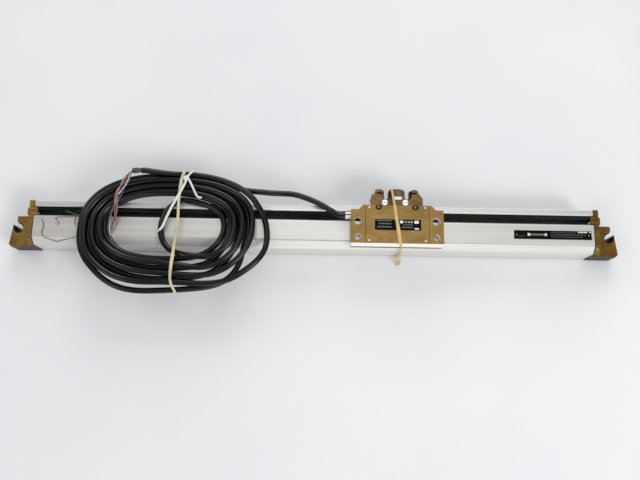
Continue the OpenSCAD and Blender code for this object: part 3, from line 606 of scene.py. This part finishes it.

# %% [markdown]
# With the recipes in place, each finish is one call: a name, its darker and
# lighter colour, and how rough it is. The colours are linear light, whose
# numbers are smaller than a screen's for the same grey.

# %% Every finish of the part
# The head's sloping front and the walls of its tab bores get a painted highlight.
gold = chromate("chromate_head", (0.37, 0.235, 0.066), (0.24, 0.145, 0.035), (0.33, 0.165, 0.07),
                bevel=(0.93, 0.88, 0.88), shade_or_joint=cover_seam, bore_highlight=tab_bore_highlight)
# The foot gets painted shade on its lower step.
gold_foot = chromate("chromate_foot", (0.25, 0.155, 0.05), (0.1, 0.058, 0.02), (0.2, 0.09, 0.06),
                     shade_or_joint=foot_step_shade)
# The ears get painted shade on their upright fronts and in their counterbores.
gold_right = chromate("chromate_right", (0.26, 0.15, 0.012), (0.09, 0.045, 0.003), (0.18, 0.05, 0.012),
                      wall_shade=(0.015, 0.01, 0.016), shade_or_joint=ear_recess_shade)
gold_left = chromate("chromate_left", (0.35, 0.21, 0.035), (0.16, 0.09, 0.018), (0.3, 0.12, 0.07),
                     wall_shade=(0.02, 0.012, 0.03), shade_or_joint=ear_recess_shade)
lip_rubber = plain("lip_rubber", (0.002, 0.003, 0.003), (0.009, 0.011, 0.011), 0.42, 300, 0.00002,
                   (0.03, 1, 1), Specular_IOR_Level=0.1)
gasket_rubber = plain("gasket_rubber", (0.012, 0.012, 0.012), (0.03, 0.03, 0.03), 0.7)
steel = plain("turned_steel", (0.42, 0.42, 0.43), (0.62, 0.62, 0.62), 0.3, 700, Metallic=1.0)
bright = plain("bright_zinc", (0.74, 0.75, 0.78), (0.88, 0.88, 0.9), 0.22, 400, Metallic=0.9)
machined = plain("machined_aluminium", (0.42, 0.42, 0.42), (0.6, 0.6, 0.6), 0.35, 500, 0.00003, (0.1, 1, 1),
                 Metallic=0.9)
pvc = plain("lead_jacket", (0.001, 0.0012, 0.0012), (0.004, 0.0044, 0.0044), 0.22, 420, 0.00003,
            Specular_IOR_Level=0.4)
nylon = plain("tie_nylon", (0.70, 0.70, 0.68), (0.84, 0.84, 0.82), 0.4)
ferrule = plain("gland_plastic", (0.8, 0.79, 0.78), (0.9, 0.89, 0.88), 0.35, groove=12.5)
band_rubber = plain("band_rubber", (0.50, 0.42, 0.24), (0.76, 0.69, 0.46), 0.6, 260, 0.00005)
band_yellow = plain("band_rubber_warm", (0.55, 0.36, 0.12), (0.80, 0.58, 0.26), 0.6, 260, 0.00005)
screen = plain("screen_sleeve", (0.03, 0.03, 0.025), (0.26, 0.25, 0.18), 0.55, 520, 0.0002)
board = plain("circuit_board", (0.02, 0.10, 0.035), (0.04, 0.18, 0.06), 0.4)
moulded = plain("moulded_black", (0.012, 0.012, 0.013), (0.03, 0.03, 0.032), 0.45)
flexible = plain("flexible_lead", (0.22, 0.11, 0.03), (0.36, 0.2, 0.06), 0.4)
clear = plain("clear_glass", (0.70, 0.85, 0.82), (0.80, 0.92, 0.9), 0.1, Transmission_Weight=0.9, IOR=1.5)
print("materials in the scene:", len(bpy.data.materials))

# %% [markdown]
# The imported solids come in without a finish. A table says which nodes wear
# which: it is easier to check than a line of code for each node, and a node that
# was forgotten is printed below.

# %% What each CAD node is made of
worn_by = {
    aluminium: "housing", gold_right: "end_block_right lip_clamp_right",
    gold_left: "end_block_left lip_clamp_left",
    gold: "head_block head_cover", gold_foot: "mounting_foot foot_lug lug_screw",
    head_print: "head_plate", scale_print: "scale_plate",
    cover_screw: "cover_screws", tongue_screw: "tongue_screws",
    gasket_rubber: "end_gasket_left end_gasket_right cover_gasket scale_bedding",
    lip_rubber: "lip_upper lip_lower",
    steel: "end_screws fixing_screws lip_pins bearing_pins guide_bearing_1 guide_bearing_2 guide_bearing_3 "
           "edge_bearing_1 edge_bearing_2 coupling_spring blade",
    bright: "foot_screws lead_clip",
    machined: "carriage_frame", ferrule: "lead_gland",
    moulded: "lamp_holder",
    board: "photocell_board terminal_board", flexible: "signal_lead",
    clear: "glass_scale lamp condenser_lens scanning_reticle",
    pvc: "lead_run lead_coil", screen: "lead_sleeve lead_conductors",
    nylon: "cable_tie", band_rubber: "coil_band head_band",
}


def wear(obj, material):
    """Gives the piece this one finish."""
    obj.data.materials.clear()
    obj.data.materials.append(material)


for material, names in worn_by.items():
    for name in names.split():
        wear(nodes[name], material)
unworn = set(nodes) - {n for names in worn_by.values() for n in names.split()}
print("nodes without a finish:", sorted(unworn))

# %% [markdown]
# A cord is a curve with a round bevel: its own line is the centre line, so its
# length can be measured, and the bevel gives it the jacket's true diameter. A
# swept mesh would look the same, but its length couldn't be read off it.

# %% The lead
def cable(name, points, diameter, material, sides):
    """points are in metres and the diameter is in mm. More sides make it rounder."""
    data = bpy.data.curves.new(name, "CURVE")
    data.dimensions = "3D"
    data.bevel_depth = diameter * MM / 2
    data.bevel_resolution = sides
    data.use_fill_caps = True
    spline = data.splines.new("POLY")
    spline.points.add(len(points) - 1)
    for point, at in zip(spline.points, points):
        point.co = (*at, 1)
    spline.use_smooth = True
    piece = bpy.data.objects.new(name, data)
    bpy.context.scene.collection.objects.link(piece)
    data.materials.append(material)
    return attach(piece, "reading_head")


lead = cable("lead", lead_line, LEAD_D, pvc, 4)
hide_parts("lead_run", "lead_coil")
print("lead:", LEAD_D, "mm thick, for lead_run and lead_coil")

# %% [markdown]
# Bands and ties are flat. A ribbon is swept along its line: at each point a
# rounded section is set square to the line, with its width along a direction
# that is given, and faces join each section to the next. A curve with a flat
# bevel could be tilted at each point instead, but a direction is easier to give
# than an angle of tilt.

# %% A flat ribbon along a line
# Shares of the ribbon's width and thickness.
SECTION = [(-0.5, -0.22), (-0.5, 0.22), (-0.38, 0.5), (0.38, 0.5),
           (0.5, 0.22), (0.5, -0.22), (0.38, -0.5), (-0.38, -0.5)]
SMOOTH_BELOW = radians(40)
BAND_STEPS = 4


def edit(piece):
    """Leaves only this piece selected, in edit mode with all its faces selected."""
    if bpy.context.mode != "OBJECT":
        bpy.ops.object.mode_set(mode="OBJECT")
    bpy.ops.object.select_all(action="DESELECT")
    bpy.context.view_layer.objects.active = piece
    piece.select_set(True)
    bpy.ops.object.mode_set(mode="EDIT")
    bpy.ops.mesh.select_all(action="SELECT")


def tidy_normals(piece):
    """Turns all faces outwards, and shades the flat angles between them smoothly."""
    edit(piece)
    bpy.ops.mesh.normals_make_consistent(inside=False)
    bpy.ops.object.mode_set(mode="OBJECT")
    bpy.ops.object.shade_smooth_by_angle(angle=SMOOTH_BELOW)
    piece.select_set(False)


def ribbon(name, points, across, width, thick, material, closed=False):
    """points and sizes are in mm. across and width may be one value, or one for each point."""
    count, corners = len(points), len(SECTION)
    across = across if isinstance(across, list) else [across] * count
    width = width if isinstance(width, list) else [width] * count
    places = []
    for i, point in enumerate(points):
        before = points[i - 1] if closed or i else point
        after = points[(i + 1) % count] if closed or i < count - 1 else point
        along = (after - before).normalized()
        wide = (across[i] - along * along.dot(across[i])).normalized()
        flat = along.cross(wide)
        places += [(point + wide * (a * width[i]) + flat * (b * thick)) * MM for a, b in SECTION]
    faces = []
    for i in range(count if closed else count - 1):
        here, there = i * corners, (i + 1) % count * corners
        faces += [(here + k, here + (k + 1) % corners, there + (k + 1) % corners, there + k)
                  for k in range(corners)]
    if not closed:
        faces += [tuple(range(corners)), tuple(range((count - 1) * corners, count * corners))]
    data = bpy.data.meshes.new(name)
    data.from_pydata(places, [], faces)
    piece = bpy.data.objects.new(name, data)
    bpy.context.scene.collection.objects.link(piece)
    wear(piece, material)
    tidy_normals(piece)
    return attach(piece, "reading_head")


def vectors(rows):
    return [Vector(row) for row in rows]


def band_line(over, under):
    """A closed line over a thing and back under it."""
    return smooth_line(over + under + over[:1], BAND_STEPS)[:-1]


# %% [markdown]
# The coil is held by a natural rubber band. It is stretched over the near and
# far sides, straight across the opening, and back under the turns. Rubber never
# lies quite flat: it wanders and narrows where it is turned on itself.

# %% The coil's band
X_AXIS = Vector((1, 0, 0))
BAND_THICK = 0.5
COIL_BAND_WIDTH, WIDTH_WAVE, WAVE_STEP = 3.3, 0.5, 0.23
TURNED_FROM, TURNED_TO, TURNED_LESS = 22, 27, 1.1  # points between which it is narrower
over = vectors([(-155.2, 60.5, 50.6), (-155.6, 57.3, 52.6), (-157, 51, 53.2), (-158.6, 37, 52.8),
                (-159.5, 20, 51.6), (-159.2, 3.6, 51.2), (-160, -13, 51.4), (-161.2, -26, 52.2),
                (-161.8, -39, 53.1), (-162.9, -50, 53), (-163.4, -60, 53), (-163.2, -69, 53),
                (-161, -76.5, 52.6), (-158.4, -81.2, 50.6)])
under = vectors([(-158, -83.4, 46.5), (-158.4, -83.6, 41.5), (-160.4, -80.6, 37.6), (-165.4, -70, 37.32),
                 (-165.2, -40, 37.3), (-162.4, 0, 37.3), (-161.4, 40, 37.3), (-158.4, 58, 37.4),
                 (-156, 62.4, 39.2), (-155.2, 63.3, 44)])
line = band_line(over, under)
widths = [COIL_BAND_WIDTH + WIDTH_WAVE * sin(WAVE_STEP * i)
          - (TURNED_LESS if TURNED_FROM < i < TURNED_TO else 0) for i in range(len(line))]
coil_band = ribbon("coil_rubber_band", line, X_AXIS, widths, BAND_THICK, band_rubber, closed=True)
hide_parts("coil_band")
print("coil band:", round(sum((b - a).length for a, b in zip(line, line[1:])), 1), "mm round")

# %% [markdown]
# The head's band leans across the head, and keeps it from sliding while the
# scale is carried. It widens towards the near edge, and the twist below it ends
# in two slack folds on the table. The loop itself is closed under the housing.

# %% The head's band
HEAD_BAND_WIDTH, WIDENS, NARROWS = 2.5, 1.7, 2.2
WIDENING, NARROWING = (0, 20), (22, 27)  # the points between which it changes
FOLD_WIDTH, FOLD_THICK = 1.9, 0.6
over = vectors([(91.8, 46.2, 46.6), (93.4, 36.5, 48.2), (94.9, 26, 49.3), (97.1, 10, 49.4),
                (99, -1.5, 49.4), (100.9, -16.8, 49.2), (102, -22, 48.9), (103, -25.6, 45.4),
                (103.5, -26.6, 38), (104, -29.2, 27), (104.3, -29.2, 14)])
under = vectors([(104.2, -28.4, 2.6), (103.4, -25, 0.75), (99, 0, 0.7), (95.4, 25, 0.75),
                 (94.8, 28.6, 2.2), (93.6, 37, 15), (91.8, 46.2, 27.4), (91.6, 46.7, 36)])
line = band_line(over, under)
widths = [HEAD_BAND_WIDTH + WIDENS * ease(i, *WIDENING) - NARROWS * ease(i, *NARROWING)
          for i in range(len(line))]
head_band = ribbon("head_rubber_band", line, X_AXIS, widths, BAND_THICK, band_yellow, closed=True)
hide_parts("head_band")
print("head band:", round(sum((b - a).length for a, b in zip(line, line[1:])), 1), "mm round")
FOLDS = {"band_fold_left": [(103.9, -29.8, 15), (102.4, -31.2, 9), (100.6, -32.6, 4.6), (100, -34.2, 2),
                            (101.6, -36.8, 1.3), (104.2, -38.9, 1.2)],
         "band_fold_right": [(104.4, -29.9, 14), (105.6, -31.4, 8), (106.7, -33, 3.6), (106.2, -35.6, 1.9),
                             (104.9, -38, 1.8)]}
for name, rows in FOLDS.items():
    line = smooth_line(vectors(rows), BAND_STEPS)
    leans = [Vector((1, 0.5 * sin(0.35 * i), 0.6 * sin(0.5 * i))) for i in range(len(line))]
    ribbon(name, line, leans, FOLD_WIDTH, FOLD_THICK, band_yellow)

# %% [markdown]
# The nylon tie is loose: its head sits on the far turns, the strap runs on a
# slant over the opening and hooks round the short inner turn, and the cut tail
# curls away on the other side. Each flat stretch is a ribbon. The head is a block
# with rounded edges, so it is shaped from a cube instead.

# %% The cable tie
STRAP_WIDTH, TAIL_WIDTH, TIE_THICK = 2.8, 2.4, 0.9
strap = vectors([(-150.6, 52.6, 54.4), (-152.4, 46.5, 54.4), (-155.9, 38.7, 53.8), (-162.3, 26.8, 52.2),
                 (-167.9, 16.7, 50.2), (-171.9, 8.3, 48.4), (-174.8, 1.7, 47.2), (-177, -4, 46.3),
                 (-179.4, -8, 45.8), (-182.4, -10.8, 44.5), (-184.9, -12.2, 41.2), (-183, -11.6, 38),
                 (-179, -9.6, 37.5)])
tail = vectors([(-148.6, 50.4, 55.6), (-146.4, 46.6, 56), (-144, 42, 56), (-141.6, 37.2, 55.2),
                (-138.8, 31.6, 54), (-136, 28.6, 53.2), (-132.4, 28.6, 53)])
back = vectors([(-150.4, 53, 54.6), (-147.6, 57, 54.4), (-145, 60.6, 51.8), (-144.2, 62.6, 47),
                (-145.6, 62.6, 41.6), (-149, 59.6, 38)])
tie_strap = ribbon("tie_strap", smooth_line(strap, BAND_STEPS), Vector((0.86, 0.5, 0)),
                   STRAP_WIDTH, TIE_THICK, nylon)
tie_tail = ribbon("tie_tail", smooth_line(tail, BAND_STEPS), Vector((0.86, 0.5, 0.1)),
                  TAIL_WIDTH, TIE_THICK, nylon)
tie_back = ribbon("tie_back", smooth_line(back, BAND_STEPS), Vector((0.9, -0.4, 0.1)),
                  TAIL_WIDTH, TIE_THICK, nylon)

# %% The tie's head
TIE_HEAD_SIZE = (6.4 * MM, 5.4 * MM, 4.4 * MM)
TIE_HEAD_EDGE = 0.7 * MM
TIE_HEAD_TURN = radians(-28)
TIE_HEAD_PLACE = (-151.2 * MM, 51.2 * MM, 55.6 * MM)
bpy.ops.mesh.primitive_cube_add(size=1)
tie_head = bpy.context.object
tie_head.name = "tie_head"
edit(tie_head)
bpy.ops.transform.resize(value=TIE_HEAD_SIZE)
bpy.ops.mesh.bevel(offset=TIE_HEAD_EDGE, segments=3, affect="EDGES")
bpy.ops.transform.rotate(value=TIE_HEAD_TURN, orient_axis="Z", center_override=(0, 0, 0))
bpy.ops.transform.translate(value=TIE_HEAD_PLACE)
bpy.ops.object.mode_set(mode="OBJECT")
wear(tie_head, nylon)
tidy_normals(tie_head)
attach(tie_head, "reading_head")
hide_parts("cable_tie")

# %% [markdown]
# The lead ends stripped, in a loom of thin coloured wires. They start together
# in the sleeve, fan out over the turns, and sink into the opening. Ten lines
# could be drawn one by one, but wires that share a jacket keep its bend: each
# takes the loom's line with a wave of its own, and stops at its own place.

# %% The stripped wires
WIRE_D = 1.1
OPENED_BY = 12  # the loom's point at which the wires are fully apart
SWING_START, SWING_STEP, SWING_MORE = 2.4, 0.16, 0.02  # each wire's own wave, in radians
APART = 0.3  # the wires start in three files, this far from each other
LOOM = vectors([(-214.2, 59.4, 55.9), (-217, 57, 56), (-220.5, 50.5, 55.4), (-224.4, 43, 54.6),
                (-228.4, 35, 54), (-231.6, 26, 53.2), (-233.8, 16.5, 50.4), (-236.4, 7, 46.4),
                (-238.4, -1.5, 42.6), (-239.6, -8.5, 39.6), (-239.4, -14.6, 38.3), (-236.6, -20, 38),
                (-232.4, -24.6, 38), (-228, -29.4, 38), (-224.6, -34, 38)])
loom_line = smooth_line(LOOM, 4)
SHADES = {  # name: colour, share of the loom's length, spread
    "white": ((0.85, 0.85, 0.84), 0.78, 2.6), "pink": ((0.7, 0.4, 0.38), 0.62, 3.2),
    "brown": ((0.20, 0.07, 0.04), 0.56, 3.8), "orange": ((0.42, 0.19, 0.1), 0.62, 2.8),
    "grey": ((0.30, 0.32, 0.36), 0.8, 3.4), "green": ((0.05, 0.2, 0.09), 0.3, 4.2),
    "red": ((0.3, 0.075, 0.06), 0.54, 4), "blue": ((0.08, 0.09, 0.24), 0.5, 3.6),
    "violet": ((0.24, 0.09, 0.3), 0.64, 3), "black": ((0.012, 0.012, 0.013), 1, 1.6),
}


def insulation(name, colour):
    """A wire's own finish."""
    darker = tuple(0.8 * c for c in colour)
    return plain("wire_" + name, darker, colour, 0.38, 700, 0.00002)


for number, (name, (colour, share, spread)) in enumerate(SHADES.items()):
    line = loom_line[:round(share * (len(loom_line) - 1)) + 1]
    shaped = []
    for i, point in enumerate(line):
        open_up = ease(i, 0, OPENED_BY) * spread
        swing = SWING_START * number + i * (SWING_STEP + SWING_MORE * (number % 4))
        sway = Vector((open_up * sin(swing) + APART * (number % 3 - 1),
                       0.6 * open_up * cos(1.7 * swing), 0.5 * (1 + sin(swing * 1.3))))
        shaped.append((point + sway) * MM)
    cable("wire_" + name, shaped, WIRE_D, insulation(name, colour), 1)
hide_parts("lead_conductors")

# %% [markdown]
# A few wires are longer than the rest. They come out beyond the coil's outer
# turns and lie on the housing, where they curl as they like. Here each one's
# own bends are what is seen, so each has its own points.

# %% The long wires on the housing
STRAY_D = 0.8
STRAYS = {
    "stray_red": ((0.36, 0.08, 0.08), [
        (-272, 6.6, 38.8), (-284, 6.4, 38.6), (-296.4, 6.3, 38), (-300.6, 6.1, 38), (-304, 6, 38),
        (-306.8, 4.8, 38), (-307.4, 3.4, 38), (-305.4, 1.4, 38), (-303.1, -0.9, 38), (-303.7, -2.4, 38),
        (-304.8, -3.9, 38)]),
    "stray_grey": ((0.12, 0.115, 0.1), [
        (-273, -17.4, 38), (-284, -19.4, 37.2), (-296.4, -21.6, 35), (-300, -22.5, 34.2),
        (-304.5, -23.3, 33.6), (-308.5, -22.4, 34.2), (-313, -21.1, 35.2), (-318.1, -19.5, 36.8),
        (-321.2, -16.5, 37.6), (-322.6, -12.3, 37.7), (-321.2, -7.6, 37.7), (-321.2, -2.4, 37.7),
        (-324.3, 2.8, 37.7)]),
    "stray_green": ((0.06, 0.2, 0.08), [
        (-272, 6, 38.8), (-280, 8.4, 38.6), (-286, 9.4, 38.4), (-291, 11.6, 38.4), (-296.6, 13.2, 38.4)]),
    "stray_brown": ((0.12, 0.05, 0.03), [
        (-274, 14, 38.6), (-281, 13.4, 38.4), (-284.4, 10.6, 38.4), (-283.4, 5.6, 38.6),
        (-284.6, 0.4, 38), (-282.8, -5.1, 38)]),
}
for name, (colour, rows) in STRAYS.items():
    line = [p * MM for p in smooth_line(vectors(rows), BAND_STEPS)]
    cable(name, line, STRAY_D, insulation(name, colour), 1)
print("long wires:", len(STRAYS))

# %% [markdown]
# It is nearly four metres of soft cable, so someone who reuses the part may want
# to lay it out anew, and then needs its true length, its ends and its way out of
# the head.

# %% [markdown]
# A pale floor and a faint white world stand in for a room. The floor lies a
# little below the part, so that it doesn't flicker against the undersides.

# %% Floor and world
FLOOR_SIZE = 6
FLOOR_GAP = 0.0004
WORLD_STRENGTH = 0.22
bpy.context.scene.view_settings.view_transform = "Standard"
bpy.ops.mesh.primitive_plane_add(size=FLOOR_SIZE, location=(0, 0, cad_box[0].z - FLOOR_GAP))
floor = bpy.context.object
floor.name = "floor"
material, wire, shader = finish("floor_paper", Roughness=0.9)
paper = wire.ramp(wire.noise(3, 2), (0.3, (0.8, 0.81, 0.83)), (0.7, (0.86, 0.87, 0.88)))
paint(wire, shader, Base_Color=paper)
wear(floor, material)

world = bpy.data.worlds.new("studio")
bpy.context.scene.world = world
world.use_nodes = True
background = world.node_tree.nodes["Background"]
background.inputs["Color"].default_value = (0.95, 0.97, 1, 1)
background.inputs["Strength"].default_value = WORLD_STRENGTH
print("floor at z", round(cad_box[0].z - FLOOR_GAP, 4))

# %% [markdown]
# Seven large soft lamps. A metal face is as bright as what it mirrors: the
# overhead lamp and the wider canopy stand where the wide face mirrors them to
# the camera, and the low front one where the sloped edge and the head's bevel
# do. The other four stand to the sides and behind, outside both, so they light
# the dull pieces and round off the black lead. A surrounding image would light
# all this in one go, but its bright spots can't be placed face by face.

# %% The lamps
def lamp(name, place, size, power):
    """A square lamp turned to the middle of the housing."""
    data = bpy.data.lights.new(name, "AREA")
    data.size = size
    data.energy = power
    made = bpy.data.objects.new(name, data)
    made.location = place
    made.rotation_euler = (-Vector(place)).to_track_quat("-Z", "Y").to_euler()
    bpy.context.scene.collection.objects.link(made)


LAMPS = {  # name: place and size in m, power in W
    "overhead": ((0.12, 0.46, 1.9), 0.9, 1.9),
    "canopy": ((0.2, 0.46, 1.9), 2, 5.4),
    "front": ((0.1, -1.9, 0.8), 1, 6.7),
    "front_left": ((-1.5, -1.2, 1.5), 1, 7.8),
    "front_right": ((1.5, -1.2, 1.5), 1, 26),
    "left": ((-1.9, 1.2, 1.3), 1, 8.3),
    "back": ((0.2, 2.2, 1.2), 1.4, 26),
}
for name, (place, size, power) in LAMPS.items():
    lamp(name, place, size, power)
print("lamps:", len(LAMPS), "with", round(sum(power for _, _, power in LAMPS.values()), 1), "W in all")
